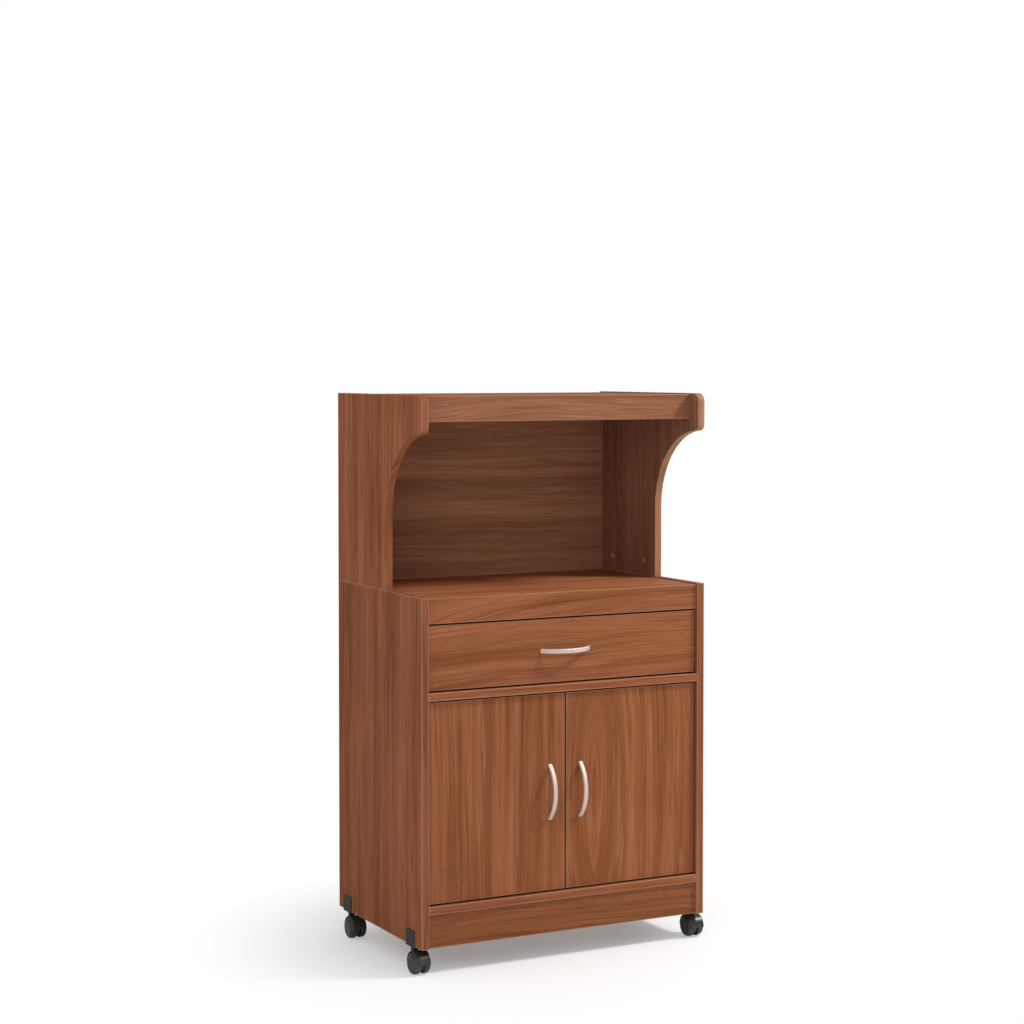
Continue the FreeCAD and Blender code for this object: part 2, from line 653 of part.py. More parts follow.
def drawer_side(side):
    """Side of the drawer box, grooved outside for the runner and inside for the bottom."""
    body = side_board(f"drawer_side_{side.name}", "drawer_length", "drawer_height",
                      "drawer_board", side.corner("drawer_box_width / 2", "drawer_board"),
                      "door_inside", "drawer_side_bottom")
    pocket(body, "YZ_Plane", side.outer("drawer_board"), "runner_groove_depth",
           [("0", "runner_rise", "drawer_length", "runner_groove_height")], side.left)
    pocket(body, "YZ_Plane", side.inner("drawer_board"), "bottom_groove_depth",
           [("0", "bottom_rise", "drawer_length", "bottom_groove_height")], not side.left)


def drawer_box():
    for side in SIDES:
        drawer_side(side)
    front_board("drawer_back", "drawer_inside_width",
                "drawer_height - bottom_rise - bottom_groove_height", "drawer_board",
                "-drawer_inside_width / 2", "door_inside + drawer_length - drawer_board",
                "drawer_side_bottom + bottom_rise + bottom_groove_height")
    flat_board("drawer_bottom", "drawer_bottom_width", "drawer_length + bottom_tuck",
               "drawer_bottom_thickness", "-drawer_bottom_width / 2",
               "door_inside - bottom_tuck", "drawer_side_bottom + bottom_rise")


def drawer_runner(side):
    """Strip on the cabinet side that the grooved drawer side rides on."""
    thickness = "drawer_side_gap + runner_bite"
    body = side_board(f"drawer_runner_{side.name}", "runner_length", "runner_height",
                      thickness, side.corner("inner_width / 2", f"({thickness})"),
                      "door_inside + runner_setback",
                      "drawer_side_bottom + runner_rise + slide_gap")
    round_edges(body, "runner_nose",
                lambda edge, box: on_front(edge, box) and edge.XLength > SAME)


# Doors ---------------------------------------------------------------------------------

def door(side):
    """Slab door that turns on two pins set into its upper and lower edges."""
    outer = f"{side.sign} * (inner_width / 2 - side_reveal)"
    corner = outer if side.left else "door_split / 2"
    body = front_board(f"door_{side.name}", "door_width", "door_height", "board",
                       corner, "door_face", "door_bottom")
    pivot = "pivot_inset" if side.left else "door_width - pivot_inset"
    socket = [(pivot, "board / 2", "pin_diameter + 2 * close_fit")]
    pocket(body, "XY_Plane", "0", "pin_depth", socket)
    pocket(body, "XY_Plane", "door_height", "pin_depth", socket, False)
    grip = "handle_from_split - door_split / 2"
    across = f"door_width - ({grip})" if side.left else grip
    pocket(body, "XZ_Plane", "0", "board",
           [(across, f"door_height / 2 + {sign} * screw_spacing / 2", "screw_way")
            for sign in ("-1", "1")])
    round_edges(body, "arris_radius",
                lambda edge, box: on_front(edge, box) and straight(edge))
    middle = f"{side.sign} * handle_from_split"
    bow_handle(f"door_handle_{side.name}", middle, "door_face",
               "door_bottom + door_height / 2", True)
    handle_screws(f"door_handle_screws_{side.name}", middle, "door_inside",
                  "door_bottom + door_height / 2", True)


def pivot_pins(side):
    """A collared pin above and below the door, fast in the door and free in the panel."""
    pins = []
    places = (("door_bottom", 180), ("door_bottom + door_height", 0))
    for level, turn in places:
        pin = new_body("pivot_pin", f"{side.sign} * (inner_width / 2 - pivot_from_wall)",
                       "door_face + board / 2", level, Vector(1, 0, 0), turn)
        pad(pin, "XY_Plane", "-pin_depth", "pin_depth + reveal + pin_reach",
            [("0", "0", "pin_diameter")])
        pad(pin, "XY_Plane", "0", "reveal - pin_collar_play", [("0", "0", "pin_collar")])
        pins.append(pin)
    group(f"door_pins_{side.name}", pins)


def door_catches():
    """Magnetic catches under the divider and strike plates on the doors."""
    catches = []
    for side in SIDES:
        inset = "catch_from_split + catch_width"
        catch = new_body("catch", side.corner(f"({inset})", "catch_width"),
                         "door_inside + strike_thickness + strike_gap",
                         "divider_bottom - catch_height")
        pad(catch, "XY_Plane", "0", "catch_height",
            [("0", "0", "catch_width", "catch_depth")])
        round_edges(catch, "arris_radius",
                    lambda edge, box: on_front(edge, box) and edge.ZLength > SAME)
        catches.append(catch)
        front_board(f"strike_plate_{side.name}", "catch_width - 2 * catch_from_split",
                    "catch_height - reveal - slide_gap", "strike_thickness",
                    side.corner(f"({inset} - catch_from_split)",
                                "(catch_width - 2 * catch_from_split)"),
                    "door_inside", "divider_bottom - catch_height")
    group("door_catches", catches)


# Casters -------------------------------------------------------------------------------

def caster_bracket(x, y):
    """Clip round the panel's lower edge with a sleeve that runs up into the panel."""
    body = new_body("caster_bracket", x, y, "base_bottom")
    half = "(board / 2 + wing_thickness)"
    pad(body, "XZ_Plane", "0", "bracket_length",
        [(f"-{half}", "-bracket_thickness", f"2 * {half}", "wing_height + bracket_thickness")],
        True)
    pocket(body, "XY_Plane", "0", "wing_height",
           [("-board / 2", "-bracket_length", "board", "2 * bracket_length")])
    round_edges(body, "wing_radius",
                lambda edge, box: same(edge.ZMin, box.ZMax) and same(edge.YLength, 0))
    pad(body, "XY_Plane", "-bracket_thickness / 2", "sleeve_length + bracket_thickness / 2",
        [("0", "0", "sleeve_diameter")])
    pocket(body, "XY_Plane", "-bracket_thickness", "sleeve_length + bracket_thickness",
           [("0", "0", "stem_diameter + 2 * running_fit")])
    return body


def caster_hood(name, x, y):
    """Web between the wheels, hood round them down to the axle, boss that holds the stem."""
    body = keep(new_body(f"caster_hood_{name}", x, y, "0"))
    pad(body, "YZ_Plane", "0", "hood_width",
        [("-axle_offset", "axle_height", "2 * hood_outer")], True)
    pocket(body, "YZ_Plane", "-hood_width", "2 * hood_width",
           [("-axle_offset - 2 * hood_outer", "-hood_outer", "4 * hood_outer",
             "axle_height + hood_outer")])
    round_edges(body, "hood_edge_radius",
                lambda edge, box: same(edge.XLength, 0) and edge.ZLength > SAME)
    pad(body, "XY_Plane", "boss_bottom", "boss_height", [("0", "0", "boss_diameter")])
    for sign, forward in (("1", True), ("-1", False)):
        pocket(body, "YZ_Plane", f"{sign} * web_thickness / 2", "hood_width",
               [("-axle_offset", "axle_height", "2 * hood_inner")], forward)
    pad(body, "YZ_Plane", "0", "web_thickness", [("-axle_offset", "axle_height", "2 * web_drop")],
        True)
    pocket(body, "YZ_Plane", "-web_thickness", "2 * web_thickness",
           [("-axle_offset", "axle_height", "axle_diameter + 2 * close_fit")])
    pocket(body, "XY_Plane", "boss_top", "boss_height - hood_thickness",
           [("0", "0", "stem_diameter + 2 * close_fit")], False)


def caster_stem(name, x, y):
    foot = "boss_bottom + hood_thickness"
    body = keep(new_body(f"caster_stem_{name}", x, y, foot))
    pad(body, "XY_Plane", "0", f"base_bottom + stem_top - ({foot})",
        [("0", "0", "stem_diameter")])
    pad(body, "XY_Plane", f"boss_top - ({foot})", "collar_gap - pin_collar_play",
        [("0", "0", "collar_diameter")])


def caster_axle(name, x, y):
    half = "(wheel_inner_face + wheel_bore_depth - slide_gap)"
    body = keep(new_body(f"caster_axle_{name}", f"{x} - {half}", f"{y} - axle_offset",
                         "axle_height"))
    pad(body, "YZ_Plane", "0", f"2 * {half}", [("0", "0", "axle_diameter")])


def caster_wheel(label, side, x, y):
    """Wheel with a domed outer face and a blind bore from inside."""
    body = keep(new_body(label, f"{x} + {side.sign} * wheel_inner_face",
                         f"{y} - axle_offset", "axle_height",
                         Vector(0, 1, 0), -90 if side.left else 90))
    pad(body, "XY_Plane", "0", "wheel_width", [("0", "0", "wheel_diameter")])
    round_edges(body, "wheel_rim", lambda edge, box: same(edge.ZMax, box.ZMin))
    round_edges(body, "wheel_dome", lambda edge, box: same(edge.ZMin, box.ZMax))
    pocket(body, "XY_Plane", "0", "wheel_bore_depth",
           [("0", "0", "axle_diameter + 2 * running_fit")])


def casters():
    brackets = []
    for side in SIDES:
        for end, y in (("front", "front + front_stem"), ("rear", "rear - rear_stem")):
            x = f"{side.sign} * (cabinet_width - board) / 2"
            name = f"{end}_{side.name}"
            brackets.append(caster_bracket(x, y))
            caster_hood(name, x, y)
            caster_stem(name, x, y)
            caster_axle(name, x, y)
            for facing in SIDES:
                place_word = "outer" if facing is side else "inner"
                caster_wheel(f"caster_wheel_{name}_{place_word}", facing, x, y)
    group("caster_brackets", brackets)


# Whole stand ---------------------------------------------------------------------------

def check():
    """Raise if any object failed or any sub-part is empty or broken."""
    document.recompute()
    for item in document.Objects:
        if "Invalid" in item.State or "Error" in item.State:
            raise RuntimeError(f"{item.Label} ({item.Name}) failed: {item.State}")
    for part in subparts:
        if part.Shape.isNull() or not part.Shape.isValid() or part.Shape.Volume <= 0:
            raise RuntimeError(f"{part.Label} has no sound shape")


def main():
    fill_sheet()
    for side in SIDES:
        base_side(side)
        hutch_side(side)
        drawer_runner(side)
        door(side)
        pivot_pins(side)
    base_rails()
    shelf()
    hutch_panels()
    hutch_joints()
    drawer_front()
    drawer_box()
    door_catches()
    casters()
    check()
    os.makedirs("parts", exist_ok=True)
    for part in subparts:
        part.Shape.exportStep(os.path.join("parts", part.Label + ".step"))


main()
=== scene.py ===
"""Finishes, small fittings and the studio of a microwave stand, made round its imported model."""
import math
from functools import cached_property
from typing import NamedTuple

import bmesh
import bpy
from bpy.props import FloatProperty, FloatVectorProperty, PointerProperty
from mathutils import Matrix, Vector


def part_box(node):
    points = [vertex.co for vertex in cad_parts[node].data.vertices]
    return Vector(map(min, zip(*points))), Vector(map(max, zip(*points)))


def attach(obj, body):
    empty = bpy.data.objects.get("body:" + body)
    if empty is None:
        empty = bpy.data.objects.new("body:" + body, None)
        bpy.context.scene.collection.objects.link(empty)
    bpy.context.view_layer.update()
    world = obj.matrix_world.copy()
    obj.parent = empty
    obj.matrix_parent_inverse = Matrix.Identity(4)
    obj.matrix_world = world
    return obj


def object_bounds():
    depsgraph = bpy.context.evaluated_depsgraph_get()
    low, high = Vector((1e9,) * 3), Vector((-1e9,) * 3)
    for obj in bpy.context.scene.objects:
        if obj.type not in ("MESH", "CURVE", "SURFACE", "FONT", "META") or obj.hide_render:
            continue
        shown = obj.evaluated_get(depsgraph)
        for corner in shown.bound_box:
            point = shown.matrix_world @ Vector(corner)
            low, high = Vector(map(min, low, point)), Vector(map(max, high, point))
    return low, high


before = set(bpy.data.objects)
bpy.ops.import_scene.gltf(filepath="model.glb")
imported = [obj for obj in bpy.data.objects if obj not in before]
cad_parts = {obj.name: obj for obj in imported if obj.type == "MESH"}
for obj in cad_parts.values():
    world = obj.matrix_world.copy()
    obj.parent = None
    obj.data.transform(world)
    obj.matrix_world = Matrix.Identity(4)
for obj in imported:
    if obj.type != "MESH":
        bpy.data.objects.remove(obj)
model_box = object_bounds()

bl_info = {
    "name": "Microwave Stand",
    "version": (1, 0, 0),
    "blender": (4, 5, 0),
    "location": "3D View > Sidebar > Stand",
    "description": "Wood laminate, fittings and studio for a microwave stand with a drawer",
    "category": "Object",
}

MILLIMETRE = 0.001
BRIGHTNESS = (0.2126, 0.7152, 0.0722)  # share of red, green and blue in a colour's brightness


# Shader maths --------------------------------------------------------------------------

class Signal:
    """A value in a material's node tree that Python arithmetic can be written on."""

    def __init__(self, finish, socket):
        self.finish = finish
        self.socket = socket

    def maths(self, operation, *terms):
        """Add a Math node on the terms, which are signals or numbers."""
        return self.finish.node("ShaderNodeMath", {"operation": operation}, dict(enumerate(terms)))

    def __add__(self, other):
        return self.maths("ADD", self, other)

    __radd__ = __add__

    def __sub__(self, other):
        return self.maths("SUBTRACT", self, other)

    def __rsub__(self, other):
        return self.maths("SUBTRACT", other, self)

    def __mul__(self, other):
        return self.maths("MULTIPLY", self, other)

    __rmul__ = __mul__

    def __truediv__(self, other):
        return self.maths("DIVIDE", self, other)

    def __rtruediv__(self, other):
        return self.maths("DIVIDE", other, self)

    def __pow__(self, power):
        return self.maths("POWER", self, power)

    def __abs__(self):
        return self.maths("ABSOLUTE", self)

    def __gt__(self, limit):
        return self.maths("GREATER_THAN", self, limit)

    def root(self):
        return self.maths("SQRT", self)

    def fraction(self):
        return self.maths("FRACT", self)

    def least(self, other):
        return self.maths("MINIMUM", self, other)

    def most(self, other):
        return self.maths("MAXIMUM", self, other)

    def span(self, low, high, interpolation="LINEAR"):
        """0 at low, 1 at high, straight between them and held outside; high may be under low."""
        settings = {"clamp": True, "interpolation_type": interpolation}
        ends = {"Value": self, "From Min": low, "From Max": high}
        return self.finish.node("ShaderNodeMapRange", settings, ends, "Result")

    def smooth(self, low, high):
        """The same with a soft start and end."""
        return self.span(low, high, "SMOOTHSTEP")


def colour(values):
    """Red, green and blue with full alpha, as a colour socket takes them."""
    return (*values, 1.0)


def luminance(values):
    """Brightness of a colour, weighed as an RGB to BW node does."""
    return sum(weight * value for weight, value in zip(BRIGHTNESS, values))


class Finish:
    """A material or world under construction: one shader and the nodes that feed it."""

    def __init__(self, owner):
        self.owner = owner
        owner.use_nodes = True
        self.tree = owner.node_tree
        self.tree.nodes.clear()

    def node(self, kind, settings=None, inputs=None, output=0):
        """Add a node: its settings first, then the values or links of its sockets."""
        made = self.tree.nodes.new(kind)
        for key, value in (settings or {}).items():
            setattr(made, key, value)
        for key, value in (inputs or {}).items():
            socket = made.inputs[key]
            if isinstance(value, Signal):
                self.tree.links.new(value.socket, socket)
            else:
                socket.default_value = value
        return Signal(self, made.outputs[output]) if made.outputs else None

    @cached_property
    def place(self):
        """x, y and z in the stand's frame with every joint at rest."""
        return self.parts(self.node("ShaderNodeTexCoord", output="Object"))

    @cached_property
    def facing(self):
        """How squarely the surface faces along x, y and z, whichever way round."""
        return [abs(part) for part in self.parts(self.node("ShaderNodeTexCoord", output="Normal"))]

    def parts(self, vector):
        """The three numbers of a vector."""
        return [self.node("ShaderNodeSeparateXYZ", inputs={0: vector}, output=index)
                for index in range(3)]

    def noise(self, x, y, z, detail=2, roughness=0.5):
        """Noise whose waves are one unit of x, y and z long."""
        spot = self.node("ShaderNodeCombineXYZ", inputs={0: x, 1: y, 2: z})
        inputs = {"Vector": spot, "Scale": 1.0, "Detail": detail, "Roughness": roughness}
        return self.node("ShaderNodeTexNoise", inputs=inputs, output="Fac")

    def speckle(self, waves, detail=2, roughness=0.5):
        """Noise with so many waves per metre along x, y and z."""
        return self.noise(*(part * count for part, count in zip(self.place, waves)),
                          detail, roughness)

    def cloud(self, waves, detail=2, roughness=0.5):
        """Noise with as many waves per metre along every axis."""
        return self.speckle((waves, waves, waves), detail, roughness)

    def mix(self, amount, first, second, blend="MIX"):
        """Blend two colours."""
        settings = {"data_type": "RGBA", "blend_type": blend, "clamp_factor": True}
        return self.node("ShaderNodeMix", settings, {0: amount, 6: first, 7: second}, 2)

    def shade(self, colour, amount):
        """Multiply a colour by a grey value."""
        grey = self.node("ShaderNodeCombineColor", inputs={0: amount, 1: amount, 2: amount})
        return self.mix(1.0, colour, grey, "MULTIPLY")

    def bump(self, height, distance, strength):
        """Relief of a height from 0 to 1 that stands a distance out of the surface."""
        inputs = {"Height": height, "Distance": distance, "Strength": strength}
        return self.node("ShaderNodeBump", inputs=inputs, output="Normal")

    def surface(self, **sockets):
        """Close the material with a principled surface, whose sockets have plain names."""
        inputs = {key.replace("_", " ").title().replace("Ior", "IOR"): value
                  for key, value in sockets.items()}
        return self.close(self.node("ShaderNodeBsdfPrincipled", inputs=inputs))

    def close(self, shader, output="ShaderNodeOutputMaterial"):
        """Lead the shader to the output."""
        self.node(output, inputs={"Surface": shader})
        return self.owner


def new_finish(name):
    """Start a material."""
    return Finish(bpy.data.materials.new(name))


def cover(nodes, material):
    """Give CAD nodes a finish."""
    for name in nodes:
        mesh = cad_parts[name].data
        mesh.materials.clear()
        mesh.materials.append(material)


# Settings ------------------------------------------------------------------------------

class LaminateSettings(bpy.types.PropertyGroup):
    """Colours and gloss of the printed wood"""
    warm: FloatVectorProperty(
        name="Warm tone", description="Orange-brown bands of the printed grain",
        subtype="COLOR", default=(0.335, 0.117, 0.053), min=0, max=1)
    dusk: FloatVectorProperty(
        name="Dusky tone", description="Darker, duller bands of the printed grain",
        subtype="COLOR", default=(0.225, 0.072, 0.028), min=0, max=1)
    vein: FloatVectorProperty(
        name="Vein", description="Dark lines of the figure",
        subtype="COLOR", default=(0.105, 0.030, 0.012), min=0, max=1)
    streak: FloatVectorProperty(
        name="Streak", description="Pale lines of the figure",
        subtype="COLOR", default=(0.46, 0.195, 0.095), min=0, max=1)
    amber: FloatVectorProperty(
        name="Amber", description="Yellower patches of the print",
        subtype="COLOR", default=(0.258, 0.106, 0.035), min=0, max=1)
    blush: FloatVectorProperty(
        name="Blush", description="Pinker patches of the print",
        subtype="COLOR", default=(0.335, 0.122, 0.072), min=0, max=1)
    # Painted highlight: pale line along the arrises and on the roundings, standing in for light
    # caught there.
    arris_highlight: FloatVectorProperty(
        name="Arris", description="Pale line where the banding meets the face",
        subtype="COLOR", default=(0.43, 0.23, 0.15), min=0, max=1)
    # Painted shade: a greyer, duller brown for the boards' faces in the shaded bay.
    grey: FloatVectorProperty(
        name="Greyer brown", description="Tone of the boards round the microwave bay",
        subtype="COLOR", default=(0.27, 0.145, 0.088), min=0, max=1)
    gloss: FloatProperty(
        name="Roughness", description="Roughness of the laminate's satin face",
        subtype="FACTOR", default=0.46, min=0.05, max=1)


class FittingSettings(bpy.types.PropertyGroup):
    """Colours of the fittings and sizes of the nails"""
    silver: FloatVectorProperty(
        name="Satin silver", description="Bow handles",
        subtype="COLOR", default=(0.73, 0.61, 0.555), min=0, max=1)
    black: FloatVectorProperty(
        name="Black", description="Caster hoods, wheels and clips",
        subtype="COLOR", default=(0.020, 0.018, 0.017), min=0, max=1)
    nail_head: FloatProperty(
        name="Nail head", description="Diameter of the nails in the hardboard back",
        subtype="DISTANCE", unit="LENGTH", default=0.0045, min=0.001, max=0.02)
    nail_spacing: FloatProperty(
        name="Nail spacing", description="Largest step between two nails of the back",
        subtype="DISTANCE", unit="LENGTH", default=0.11, min=0.02, max=0.5)


class StageSettings(bpy.types.PropertyGroup):
    """Camera, lamps and floor of the studio"""
    camera: FloatVectorProperty(
        name="Camera", description="Place of the camera",
        subtype="TRANSLATION", unit="LENGTH", default=(-2.022, -3.827, 1.125))
    turn: FloatProperty(
        name="Turn", description="Camera's turn about the vertical",
        subtype="ANGLE", default=math.radians(-27.59))
    dip: FloatProperty(
        name="Dip", description="How far the camera looks below the horizon",
        subtype="ANGLE", default=math.radians(2.19))
    lens: FloatProperty(
        name="Lens", description="Focal length in millimetres on a 36 mm frame",
        default=77.7, min=10, max=300)
    rise: FloatProperty(
        name="Vertical shift", description="Lens shift as a share of the frame",
        default=-0.0605, min=-0.5, max=0.5)
    key: FloatVectorProperty(
        name="Key light", description="Place of the key light",
        subtype="TRANSLATION", unit="LENGTH", default=(1.90, -1.15, 2.60))
    key_power: FloatProperty(
        name="Key power", description="Power of the key light in watts",
        default=68, min=0, max=1000)
    key_size: FloatProperty(
        name="Key size", description="Edge of the key light's square",
        subtype="DISTANCE", unit="LENGTH", default=0.55, min=0.01, max=10)
    fill: FloatVectorProperty(
        name="Fill light", description="Place of the fill light",
        subtype="TRANSLATION", unit="LENGTH", default=(-2.1, -2.3, 1.35))
    fill_power: FloatProperty(
        name="Fill power", description="Power of the fill light in watts",
        default=15, min=0, max=1000)
    fill_size: FloatProperty(
        name="Fill size", description="Edge of the fill light's square",
        subtype="DISTANCE", unit="LENGTH", default=1.8, min=0.01, max=10)
    horizon: FloatProperty(
        name="Horizon", description="Brightness of the studio at the horizon",
        subtype="FACTOR", default=0.35, min=0, max=2)
    overhead: FloatProperty(
        name="Overhead", description="Brightness of the studio's ceiling",
        subtype="FACTOR", default=0.62, min=0, max=2)
    mirrored: FloatProperty(
        name="Mirrored", description="Least brightness of the studio in a reflection",
        subtype="FACTOR", default=0.40, min=0, max=2)
    # The floor's painted white glow fades the shadow out by this distance.
    shadow_reach: FloatProperty(
        name="Shadow reach", description="Distance from the stand where its shadow has faded",
        subtype="DISTANCE", unit="LENGTH", default=0.68, min=0.5, max=10)
    floor_radius: FloatProperty(
        name="Floor", description="Radius of the studio floor",
        subtype="DISTANCE", unit="LENGTH", default=9.0, min=2, max=50)


# Wood laminate -------------------------------------------------------------------------

AXES = "xyz"
SQUARE_ON = 0.7  # a surface squarer to an axis than this counts as facing it

# Layers of the print: waves per metre across and along the grain, slice, detail, roughness.
LAYERS = {
    "stray": (7, 2.6, 0, 2, 0.5),
    "ripple": (40, 12, 5, 1, 0.5),
    "zone": (15, 1.4, 8, 1, 0.5),
    "broad": (44, 0.9, 11, 2, 0.5),
    "bands": (120, 2.2, 14, 3, 0.65),
    "lines": (400, 4, 17, 2, 0.7),
    "dark": (105, 1.8, 20, 2, 0.6),
    "fibre": (700, 60, 23, 3, 0.7),
    "pale": (85, 1.5, 26, 2, 0.6),
    "pores": (1700, 70, 29, 1, 0.5),
    "fade": (22, 5, 32, 1, 0.5),
    "hue": (75, 2.2, 38, 2, 0.5),
}
STRAY_REACH = 0.05     # metres that the lines stray from their course
RIPPLE_REACH = 0.003   # metres that they ripple
PITH = 0.000004        # square of the rounding at the centre of the rings, square metres
TAPER = 20             # how fast the arches straighten away from their centre, per metre
GROWTH_RINGS = 84      # dark growth lines per metre
GROWTH_STRAY = 2.4     # rings that a growth line strays
GROWTH_SHARPNESS = 5   # power that turns a ring's ramp into a line
DARK_LINE = 0.036      # half widths of the single lines, in the noise that they follow
PALE_LINE = 0.030
FIBRE_SHADE, PORE_SHADE, PRINT_LEVEL = 0.34, 0.18, 1.03
ARRIS_INSIDE = 2.2 * MILLIMETRE   # the painted arris highlight fades out this far from the arris
ARRIS_OUTSIDE = 0.8 * MILLIMETRE  # and is full this near to it
ARRIS_SHARE = 0.56                # share of the highlight tone in that painted line
RELIEF = 0.06 * MILLIMETRE        # depth of the embossed fibres and pores
SPECULAR = 0.02                   # the satin print's specular level
BAY_FACE = 0.2 * MILLIMETRE       # depth of the printed face that looks away from the bay, which the painted bay shade spares


class Figure(NamedTuple):
    """Growth-ring picture printed on one board: pointed arches round a centre."""
    across: float        # centre of the arches across the grain, metres
    along: float         # centre of the arches along the grain, metres
    bow: float           # how fast the lines bend towards their tips
    seed: float          # slice of the noise that the board is cut from
    wander: float = 1.0  # how far the lines stray
    lift: float = 1.0    # brightness of the print, painted light and shade for how much light reaches the board
    painted_bay_haze: float = 0.0    # share of a greyer brown, all but on the face away from the bay: painted shade of the shaded bay
    painted_edge_light: float = 1.0    # brightness of the banding on the edges, painted light and shade on them
    pale: float = 1.0    # how much of the painted arris highlight the banding keeps
    spread: float = 1.0  # how wide apart the rings lie

    def layer(self, finish, name, across, along):
        """One layer of noise, from the board's own slice."""
        crossing, running, slice_, detail, roughness = LAYERS[name]
        return finish.noise(across * crossing, along * running, self.seed + slice_,
                            detail, roughness)

    def rings(self, finish, width, length):
        """Distance through the growth rings, in metres of wood."""
        stray = self.layer(finish, "stray", width, length)
        ripple = self.layer(finish, "ripple", width, length)
        offset = (stray - 0.5) * (STRAY_REACH * self.wander) \
            + (ripple - 0.5) * (RIPPLE_REACH * self.wander)
        off_side = width - self.across + offset
        side = (off_side * off_side + PITH).root()
        off_end = length - self.along
        return (side + off_end * off_end * self.bow / (side * TAPER + 1)) * (1 / self.spread)


def printed_wood(finish, look, figure, ring, length):
    """Colour of the print without its fibres and pores, and its finest lines."""
    zone, broad, bands, lines, dark, pale, fade, hue = (
        figure.layer(finish, name, ring, length)
        for name in ("zone", "broad", "bands", "lines", "dark", "pale", "fade", "hue"))

    warmth = (zone * 0.2 + broad * 0.55 + bands * 0.25).smooth(0.39, 0.61)
    wood = finish.mix(warmth, colour(look.dusk), colour(look.warm))
    wood = finish.mix(hue.smooth(0.50, 0.68) * 0.45, wood, colour(look.amber))
    wood = finish.mix(hue.smooth(0.50, 0.34) * 0.22, wood, colour(look.blush))

    growth = (ring * GROWTH_RINGS + broad * GROWTH_STRAY).fraction() ** GROWTH_SHARPNESS \
        * fade.smooth(0.40, 0.62)
    dark_line = abs(dark - 0.5).span(DARK_LINE, 0.0) * fade.smooth(0.66, 0.42)
    vein = dark_line * 0.46 + lines.smooth(0.54, 0.72) * 0.20 + growth * 0.40
    # Veins are weaker on the boards with the painted bay shade.
    wood = finish.mix(vein * (1 - figure.painted_bay_haze * 0.5), wood, colour(look.vein))

    pale_line = abs(pale - 0.5).span(PALE_LINE, 0.0) * fade.smooth(0.36, 0.60)
    streak = pale_line * 0.40 + lines.smooth(0.44, 0.26) * 0.20
    return finish.mix(streak, wood, colour(look.streak)), lines


def arrises(place, facing, low, high):
    """Mask of the painted arris highlight: 1 along the arrises of a board and on its roundings, 0 on
    its faces.
    """
    edges = [(place[axis] - low[index]).least(high[index] - place[axis])
             for index, axis in enumerate(AXES)]
    nearest, furthest = edges[0], edges[0]
    for edge in edges[1:]:
        nearest, furthest = nearest.least(edge), furthest.most(edge)
    second = edges[0] + edges[1] + edges[2] - nearest - furthest
    rounded = facing.smooth(0.1, 0.45)
    return second.span(ARRIS_INSIDE, ARRIS_OUTSIDE).most(rounded)


def laminate(name, node, grain, face, figure):
    """Printed wood on the faces of a board and banding on its edges, with painted light, painted
    shade and a painted arris highlight over them.
    """
    look = bpy.context.scene.stand_laminate
    finish = new_finish(name)
    across = next(axis for axis in AXES if axis not in (grain, face))
    place = dict(zip(AXES, finish.place))
    facing = dict(zip(AXES, finish.facing))
    low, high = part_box(node)

    end = facing[grain] > SQUARE_ON
    width = place[across] * (1 - end) + place[face]
    length = place[grain] * (1 - end) + place[across] * end
    ring = figure.rings(finish, width, length)
    wood, lines = printed_wood(finish, look, figure, ring, length)

    # Painted shade: faces round the bay turn to a greyer, duller brown of the same brightness.
    bay = 1.0
    if figure.painted_bay_haze:
        bay = 1 - (place[face] > high[AXES.index(face)] - BAY_FACE)
        level = finish.node("ShaderNodeRGBToBW", inputs={0: wood})
        dull = finish.shade(colour(look.grey), level / luminance(look.grey))
        wood = finish.mix(bay * figure.painted_bay_haze, wood, dull)

    banding = 1 - (facing[face] > SQUARE_ON)
    # Painted light and shade: the board's print and its banding made brighter or darker.
    lift = (bay * (figure.lift - 1) + 1) * (banding * (figure.painted_edge_light - 1) + 1)
    fibre = figure.layer(finish, "fibre", width, length)
    pore = figure.layer(finish, "pores", width, length).smooth(0.62, 0.74)
    wood = finish.shade(wood, ((fibre - 0.5) * FIBRE_SHADE - pore * PORE_SHADE + PRINT_LEVEL) * lift)

    # Painted highlight: a pale line along the arrises and on the roundings.
    arris_highlight = arrises(place, facing[face] * facing[across], low, high)
    arris_highlight = arris_highlight * (banding * (figure.pale - 1) + 1)
    wood = finish.mix(arris_highlight * ARRIS_SHARE, wood, colour(look.arris_highlight))

    return finish.surface(
        base_color=wood,
        roughness=look.gloss + lines * 0.06 + pore * 0.12,
        specular_IOR_level=SPECULAR,
        normal=finish.bump(fibre * 0.5 - pore, RELIEF, 0.5),
    )


